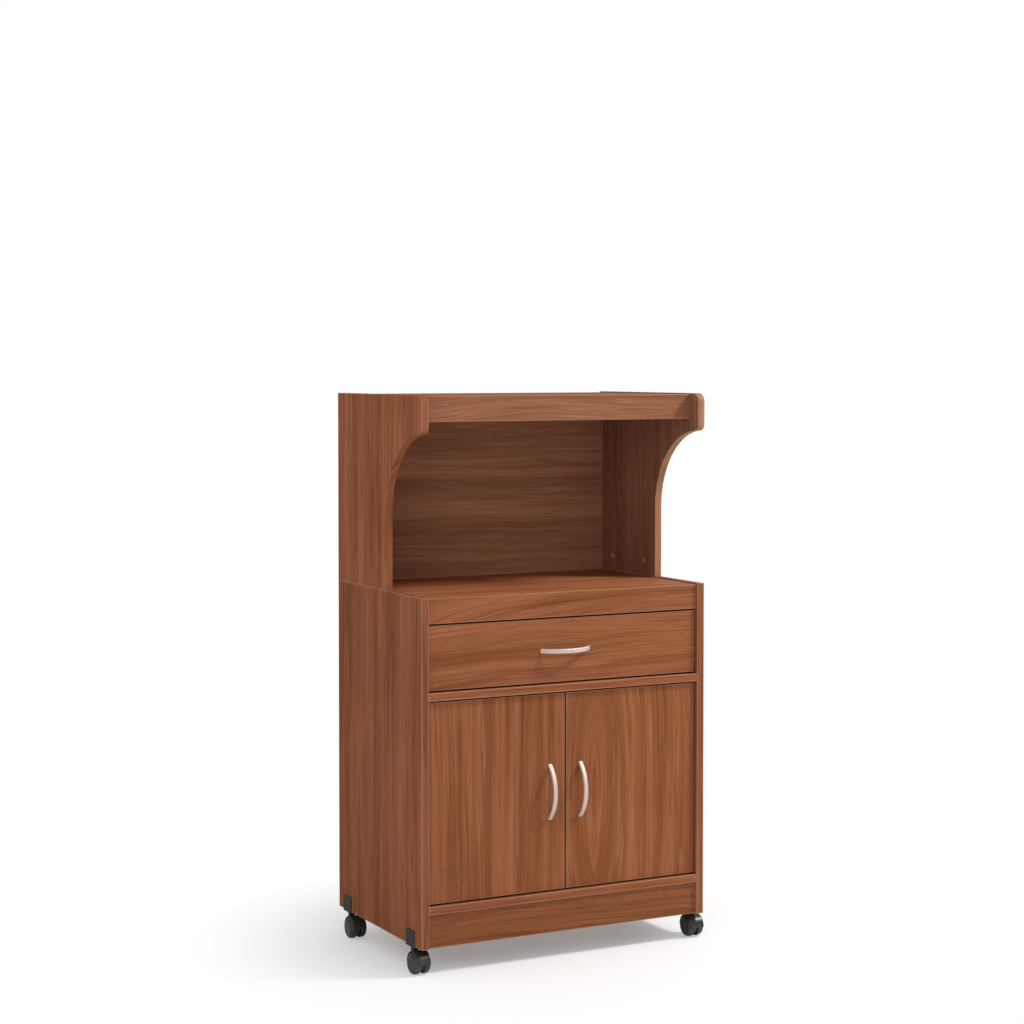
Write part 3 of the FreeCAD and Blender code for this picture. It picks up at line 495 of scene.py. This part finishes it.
BOARDS = {
    # node: grain, face, figure
    "side_panel_left": (
        "z", "x", Figure(-0.66, 0.30, 0.3, 3.1, wander=0.25, painted_edge_light=0.77, spread=1.6)),
    "side_panel_right": (
        "z", "x", Figure(0.84, 0.35, 0.4, 7.7, wander=0.25, painted_edge_light=0.88, spread=1.6)),
    "hutch_side_left": (
        "z", "x", Figure(-0.68, 0.90, 0.3, 12.9, wander=0.25, lift=1.15, painted_edge_light=0.78, spread=1.6)),
    "hutch_side_right": (
        "z", "x", Figure(0.94, 0.88, 0.4, 17.3, wander=0.25, lift=1.08, painted_bay_haze=0.75, painted_edge_light=1.30)),
    "tabletop": ("x", "z", Figure(1.25, 0.1, 0.4, 21.0, wander=0.5, lift=1.2)),
    "apron": ("x", "y", Figure(0.405, 0.24, 0.5, 25.2, wander=0.8, lift=0.94)),
    "divider": ("x", "z", Figure(0.30, 0.0, 0.1, 28.4, wander=0.3, lift=1.06)),
    "bottom_panel": ("x", "z", Figure(0.10, 0.0, 0.1, 31.8, wander=0.3)),
    "plinth": ("x", "y", Figure(-0.25, -0.15, 0.3, 34.6, wander=0.8, lift=0.80)),
    "shelf": ("x", "z", Figure(0.85, 0.05, 0.3, 37.9, wander=0.5)),
    "hutch_top": ("x", "z", Figure(1.50, -0.1, 0.3, 41.1, wander=0.5)),
    "header": ("x", "y", Figure(0.76, 0.10, 0.4, 44.3, wander=0.7, lift=1.02, painted_bay_haze=0.4)),
    "hutch_back": ("x", "y", Figure(1.52, 0.05, 0.5, 47.7, wander=0.7, lift=1.46, painted_bay_haze=0.62)),
    "drawer_front": (
        "x", "y", Figure(0.24, 0.12, 0.3, 51.5, wander=0.6, lift=0.95, painted_edge_light=0.7, pale=0.1)),
    "door_left": (
        "z", "y", Figure(-0.60, 0.25, 0.2, 54.9, wander=0.3, lift=0.93, painted_edge_light=0.7, pale=0.1)),
    "door_right": (
        "z", "y", Figure(-0.112, 0.308, 0.73, 58.3, wander=0.35, painted_edge_light=0.7, pale=0.1)),
}


def foil(name, grain, face, seed):
    """Thin wood-print foil on the drawer box, plainer than the laminate."""
    look = bpy.context.scene.stand_laminate
    finish = new_finish(name)
    across = next(axis for axis in AXES if axis not in (grain, face))
    place = dict(zip(AXES, finish.place))
    width = place[across] + place[face]
    stripes = finish.noise(width * 120, place[grain] * 2, seed, 3)
    fibre = finish.noise(width * 1400, place[grain] * 20, seed + 3)
    wood = finish.mix(stripes.smooth(0.3, 0.7), colour(look.dusk), colour(look.warm))
    wood = finish.shade(wood, 0.9 + (fibre - 0.5) * 0.25)
    return finish.surface(base_color=wood, roughness=0.48 + stripes * 0.08,
                          normal=finish.bump(fibre, 0.04 * MILLIMETRE, 0.4))


def hardboard(name, seed):
    """Pressed fibres, smooth and dark, with paler flecks."""
    finish = new_finish(name)
    x, y, z = finish.place
    flecks = finish.noise(x * 420, y * 420, z * 700 + seed, 3, 0.7)
    brown = finish.mix(finish.cloud(9, 3), (0.13, 0.062, 0.032, 1), (0.20, 0.10, 0.052, 1))
    brown = finish.mix(flecks.smooth(0.56, 0.72) * 0.5, brown, (0.36, 0.22, 0.13, 1))
    return finish.surface(base_color=brown, roughness=0.55 + flecks * 0.2,
                          normal=finish.bump(flecks, 0.08 * MILLIMETRE, 0.5))


def beech(name):
    """Raw dowel with fine rays along it."""
    finish = new_finish(name)
    rays = finish.speckle((900, 900, 60))
    tone = finish.mix(rays, (0.50, 0.32, 0.17, 1), (0.68, 0.48, 0.29, 1))
    return finish.surface(base_color=tone, roughness=0.7)


# Metal and plastic ---------------------------------------------------------------------

def satin_metal(name, along):
    """Brushed silver handle: fine and coarse lines along the bar."""
    look = bpy.context.scene.stand_fittings
    finish = new_finish(name)
    brush = finish.speckle([40 if axis == along else 3000 for axis in AXES], 3)
    streak = finish.speckle([16 if axis == along else 900 for axis in AXES])
    smudge = finish.cloud(60)
    silver = finish.shade(colour(look.silver), 0.80 + brush * 0.1 + streak.smooth(0.3, 0.6) * 0.15)
    return finish.surface(base_color=silver, metallic=0.85,
                          roughness=0.60 + brush * 0.08 + smudge * 0.06,
                          normal=finish.bump(brush, 0.02 * MILLIMETRE, 0.5))


def plated(name, tint, roughness):
    """Plated or blackened steel, or cast zinc: blotchy, with fine tool marks."""
    finish = new_finish(name)
    spangle = finish.cloud(240, 3)
    marks = finish.speckle((2200, 2200, 300))
    metal = finish.shade(colour(tint), 0.82 + spangle * 0.3)
    return finish.surface(base_color=metal, metallic=0.85, roughness=roughness + marks * 0.15,
                          normal=finish.bump(marks, 0.02 * MILLIMETRE, 0.5))


def plastic(name, tint, roughness, grain, worn=0.0):
    """Moulded plastic or paint: fine grain and a little dust in a paler tint."""
    finish = new_finish(name)
    leather = finish.cloud(grain, 3, 0.6)
    clouds = finish.cloud(55, 3)
    dust = clouds.smooth(0.42, 0.75) * (0.10 + worn)
    body = finish.mix(dust, colour(tint), (0.20, 0.19, 0.18, 1))
    return finish.surface(base_color=body, roughness=roughness + clouds * 0.12 + leather * 0.05,
                          normal=finish.bump(leather, 0.05 * MILLIMETRE, 0.6))


# Pieces --------------------------------------------------------------------------------

NAIL_MARGIN = 3 * MILLIMETRE    # from the hardboard's edge to the middle of a nail
NAIL_RISE = 0.25 * MILLIMETRE   # how far a nail's head stands proud


def nail_places(low, high, edge, step):
    """Points round a back panel, a margin inside its edge."""
    left, right, bottom, top = low.x + edge, high.x - edge, low.z + edge, high.z - edge
    columns = math.ceil((right - left) / step)
    rows = math.ceil((top - bottom) / step)
    for index in range(columns + 1):
        across = left + (right - left) * index / columns
        yield across, bottom
        yield across, top
    for index in range(1, rows):
        up = bottom + (top - bottom) * index / rows
        yield left, up
        yield right, up


def dome(mesh, centre, radius, height, rings=4, segments=16):
    """Low round head that stands out of a surface facing +y."""
    loops = []
    for ring in range(rings):
        angle = math.pi / 2 * ring / rings
        out = radius * math.cos(angle)
        rise = height * math.sin(angle)
        turns = [2 * math.pi * step / segments for step in range(segments)]
        loops.append([
            mesh.verts.new(centre + Vector((out * math.cos(turn), rise, out * math.sin(turn))))
            for turn in turns])
    for outer, inner in zip(loops, loops[1:]):
        for index in range(segments):
            after = (index + 1) % segments
            mesh.faces.new((outer[index], inner[index], inner[after], outer[after]))
    mesh.faces.new(loops[-1][::-1])
    mesh.faces.new(loops[0])


def new_piece(name, mesh, material, body):
    """Turn a bmesh into an object that rides on a body."""
    data = bpy.data.meshes.new(name)
    bmesh.ops.recalc_face_normals(mesh, faces=mesh.faces)
    mesh.to_mesh(data)
    mesh.free()
    data.materials.append(material)
    for polygon in data.polygons:
        polygon.use_smooth = True
    piece = bpy.data.objects.new(name, data)
    bpy.context.scene.collection.objects.link(piece)
    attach(piece, body)


# Operators -----------------------------------------------------------------------------

class STAND_OT_boards(bpy.types.Operator):
    """Cover every board of the stand with its own piece of wood laminate"""
    bl_idname = "stand.boards"
    bl_label = "Laminated boards"
    bl_options = {"REGISTER", "UNDO"}

    def execute(self, context):
        for node, (grain, face, figure) in BOARDS.items():
            cover([node], laminate(f"laminate_{node}", node, grain, face, figure))
        return {"FINISHED"}


class STAND_OT_drawer_box(bpy.types.Operator):
    """Cover the drawer box, its bottom and the runners"""
    bl_idname = "stand.drawer_box"
    bl_label = "Drawer box"
    bl_options = {"REGISTER", "UNDO"}

    def execute(self, context):
        cover(["drawer_side_left"], foil("foil_left", "y", "x", 2.0))
        cover(["drawer_side_right"], foil("foil_right", "y", "x", 6.0))
        cover(["drawer_back"], foil("foil_back", "x", "y", 9.0))
        cover(["drawer_bottom"], hardboard("hardboard_drawer", 1.0))
        runner = plastic("runner_plastic", (0.075, 0.036, 0.022), 0.42, 1600)
        cover(["drawer_runner_left", "drawer_runner_right"], runner)
        return {"FINISHED"}


class STAND_OT_handles(bpy.types.Operator):
    """Satin silver for the bow handles, plated steel for their screws"""
    bl_idname = "stand.handles"
    bl_label = "Bow handles"
    bl_options = {"REGISTER", "UNDO"}

    def execute(self, context):
        cover(["drawer_handle"], satin_metal("satin_silver_across", "x"))
        cover(["door_handle_left", "door_handle_right"], satin_metal("satin_silver_upright", "z"))
        screws = plated("plated_screws", (0.60, 0.60, 0.60), 0.25)
        cover(["drawer_handle_screws", "door_handle_screws_left", "door_handle_screws_right"],
              screws)
        return {"FINISHED"}


class STAND_OT_fittings(bpy.types.Operator):
    """Finish the pins, catches, shelf supports, cam nuts, bolts and dowels"""
    bl_idname = "stand.fittings"
    bl_label = "Inner fittings"
    bl_options = {"REGISTER", "UNDO"}

    def execute(self, context):
        steel = plated("plated_steel", (0.58, 0.58, 0.59), 0.25)
        cover(["strike_plate_left", "strike_plate_right", "hutch_cam_bolts"], steel)
        cover(["door_pins_left", "door_pins_right"],
              plated("blackened_steel", (0.045, 0.036, 0.032), 0.45))
        cover(["hutch_cam_nuts", "shelf_supports"], plated("cast_zinc", (0.80, 0.68, 0.61), 0.4))
        cover(["door_catches"], plastic("catch_plastic", (0.050, 0.028, 0.018), 0.4, 1800))
        cover(["hutch_dowels"], beech("beech"))
        return {"FINISHED"}


class STAND_OT_back(bpy.types.Operator):
    """Hardboard back of the base with the nails round its edge"""
    bl_idname = "stand.back"
    bl_label = "Nailed back"
    bl_options = {"REGISTER", "UNDO"}

    def execute(self, context):
        look = context.scene.stand_fittings
        cover(["base_back"], hardboard("hardboard_back", 4.0))
        low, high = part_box("base_back")
        heads = bmesh.new()
        for across, up in nail_places(low, high, NAIL_MARGIN, look.nail_spacing):
            dome(heads, Vector((across, high.y, up)), look.nail_head / 2, NAIL_RISE)
        steel = plated("nail_steel", (0.42, 0.41, 0.40), 0.35)
        new_piece("back_nails", heads, steel, "cabinet")
        return {"FINISHED"}


class STAND_OT_casters(bpy.types.Operator):
    """Black nylon and paint for the casters and the clips that hold them"""
    bl_idname = "stand.casters"
    bl_label = "Casters"
    bl_options = {"REGISTER", "UNDO"}

    def execute(self, context):
        look = context.scene.stand_fittings
        hood = plastic("hood_nylon", look.black, 0.26, 900)
        wheel = plastic("wheel_nylon", look.black, 0.30, 1200, 0.08)
        steel = plated("stem_steel", (0.50, 0.50, 0.51), 0.3)
        for end in ("front", "rear"):
            for side in ("left", "right"):
                corner = f"{end}_{side}"
                cover([f"caster_hood_{corner}"], hood)
                cover([f"caster_wheel_{corner}_outer", f"caster_wheel_{corner}_inner"], wheel)
                cover([f"caster_stem_{corner}", f"caster_axle_{corner}"], steel)
        cover(["caster_brackets"], plastic("bracket_paint", look.black, 0.55, 700))
        return {"FINISHED"}


class STAND_OT_stage(bpy.types.Operator):
    """Pale floor, white studio, soft key light and the camera"""
    bl_idname = "stand.stage"
    bl_label = "Studio"
    bl_options = {"REGISTER", "UNDO"}

    def execute(self, context):
        look = context.scene.stand_stage
        lay_floor(look)
        light_world(look)
        low, high = model_box
        middle = [(first + last) / 2 for first, last in zip(low, high)]
        hang_lamp("key", look.key, middle, look.key_power, look.key_size)
        hang_lamp("fill", look.fill, middle, look.fill_power, look.fill_size)
        set_camera(look)
        context.scene.view_settings.view_transform = "Standard"
        return {"FINISHED"}


FRAME_WIDTH = 36                # camera's frame, millimetres
WHITE = (1, 1, 1, 1)
PAPER = (0.97, 0.97, 0.97, 1)
FLOOR_SIDES = 96                # corners of the round floor
FLOOR_DROP = 0.5 * MILLIMETRE   # the floor lies this far under the wheels
SHADOW_CORE = 0.27              # share of the shadow's reach within which it is full, before the painted white glow fades it
FLOOR_GLOW = 0.24               # share of painted white glow where the shadow is full


def lay_floor(look):
    """Pale round floor that keeps the stand's shadow near it, with a painted white glow that fades
    the shadow and makes the floor white further out.
    """
    finish = new_finish("studio_floor")
    paper = finish.node("ShaderNodeBsdfDiffuse", inputs={"Color": PAPER})
    glow = finish.node("ShaderNodeEmission", inputs={"Color": WHITE, "Strength": 1.0})
    seen = finish.node("ShaderNodeLightPath", output="Is Camera Ray")
    glass = finish.node("ShaderNodeLightPath", output="Is Transmission Ray")
    x, y, _ = finish.place
    # Painted light: the floor glows white to the camera more and more away from the stand, fading
    # its shadow out by shadow_reach.
    clear = (x * x + y * y).root().smooth(look.shadow_reach * SHADOW_CORE, look.shadow_reach)
    share = seen.most(glass) * (clear * (1 - FLOOR_GLOW) + FLOOR_GLOW)
    shader = finish.node("ShaderNodeMixShader", inputs={0: share, 1: paper, 2: glow})
    mesh = bmesh.new()
    bmesh.ops.create_circle(mesh, cap_ends=True, segments=FLOOR_SIDES,
                            radius=look.floor_radius)
    data = bpy.data.meshes.new("floor")
    mesh.to_mesh(data)
    mesh.free()
    data.materials.append(finish.close(shader))
    floor = bpy.data.objects.new("floor", data)
    floor.location.z = -FLOOR_DROP
    bpy.context.scene.collection.objects.link(floor)


def light_world(look):
    """White studio to the eye, with a duller light that grows towards the ceiling."""
    finish = Finish(bpy.data.worlds.new("studio"))
    height = finish.parts(finish.node("ShaderNodeTexCoord", output="Generated"))[2]
    lamps = height.smooth(-0.05, 0.75) * (look.overhead - look.horizon) + look.horizon
    seen = finish.node("ShaderNodeLightPath", output="Is Camera Ray")
    glass = finish.node("ShaderNodeLightPath", output="Is Transmission Ray")
    mirrored = finish.node("ShaderNodeLightPath", output="Is Glossy Ray") * look.mirrored
    strength = lamps.most(seen).most(glass).most(mirrored)
    shader = finish.node("ShaderNodeBackground", inputs={"Color": WHITE, "Strength": strength})
    bpy.context.scene.world = finish.close(shader, "ShaderNodeOutputWorld")


def hang_lamp(name, place, aim, power, size):
    """Square soft light at a place, turned to its aim."""
    data = bpy.data.lights.new(name, "AREA")
    data.energy = power
    data.size = size
    lamp = bpy.data.objects.new(name, data)
    lamp.location = place
    lamp.rotation_euler = (Vector(place) - Vector(aim)).to_track_quat("Z", "Y").to_euler()
    bpy.context.scene.collection.objects.link(lamp)


def set_camera(look):
    """Camera a little above the stand's top, out beyond its front left corner."""
    data = bpy.data.cameras.new("camera")
    data.lens = look.lens
    data.sensor_width = FRAME_WIDTH
    data.shift_y = look.rise
    camera = bpy.data.objects.new("camera", data)
    camera.location = look.camera
    camera.rotation_euler = (math.pi / 2 - look.dip, 0, look.turn)
    bpy.context.scene.collection.objects.link(camera)
    bpy.context.scene.camera = camera


# Panel and registration ----------------------------------------------------------------

SETTINGS = (
    ("stand_laminate", LaminateSettings),
    ("stand_fittings", FittingSettings),
    ("stand_stage", StageSettings),
)

OPERATORS = (
    STAND_OT_boards,
    STAND_OT_drawer_box,
    STAND_OT_handles,
    STAND_OT_fittings,
    STAND_OT_back,
    STAND_OT_casters,
    STAND_OT_stage,
)


class STAND_PT_sidebar(bpy.types.Panel):
    """The stand's groups of pieces and their settings"""
    bl_idname = "STAND_PT_sidebar"
    bl_label = "Microwave Stand"
    bl_space_type = "VIEW_3D"
    bl_region_type = "UI"
    bl_category = "Stand"

    def draw(self, context):
        for name, group in SETTINGS:
            box = self.layout.box()
            for key in group.__annotations__:
                box.prop(getattr(context.scene, name), key)
        for operator in OPERATORS:
            self.layout.operator(operator.bl_idname)


CLASSES = (*(group for _, group in SETTINGS), *OPERATORS, STAND_PT_sidebar)


def register():
    for item in CLASSES:
        bpy.utils.register_class(item)
    for name, group in SETTINGS:
        setattr(bpy.types.Scene, name, PointerProperty(type=group))


def unregister():
    for name, _ in SETTINGS:
        delattr(bpy.types.Scene, name)
    for item in reversed(CLASSES):
        bpy.utils.unregister_class(item)


def main():
    register()
    for operator in OPERATORS:
        group, name = operator.bl_idname.split(".")
        getattr(getattr(bpy.ops, group), name)()


if __name__ == "__main__":
    main()
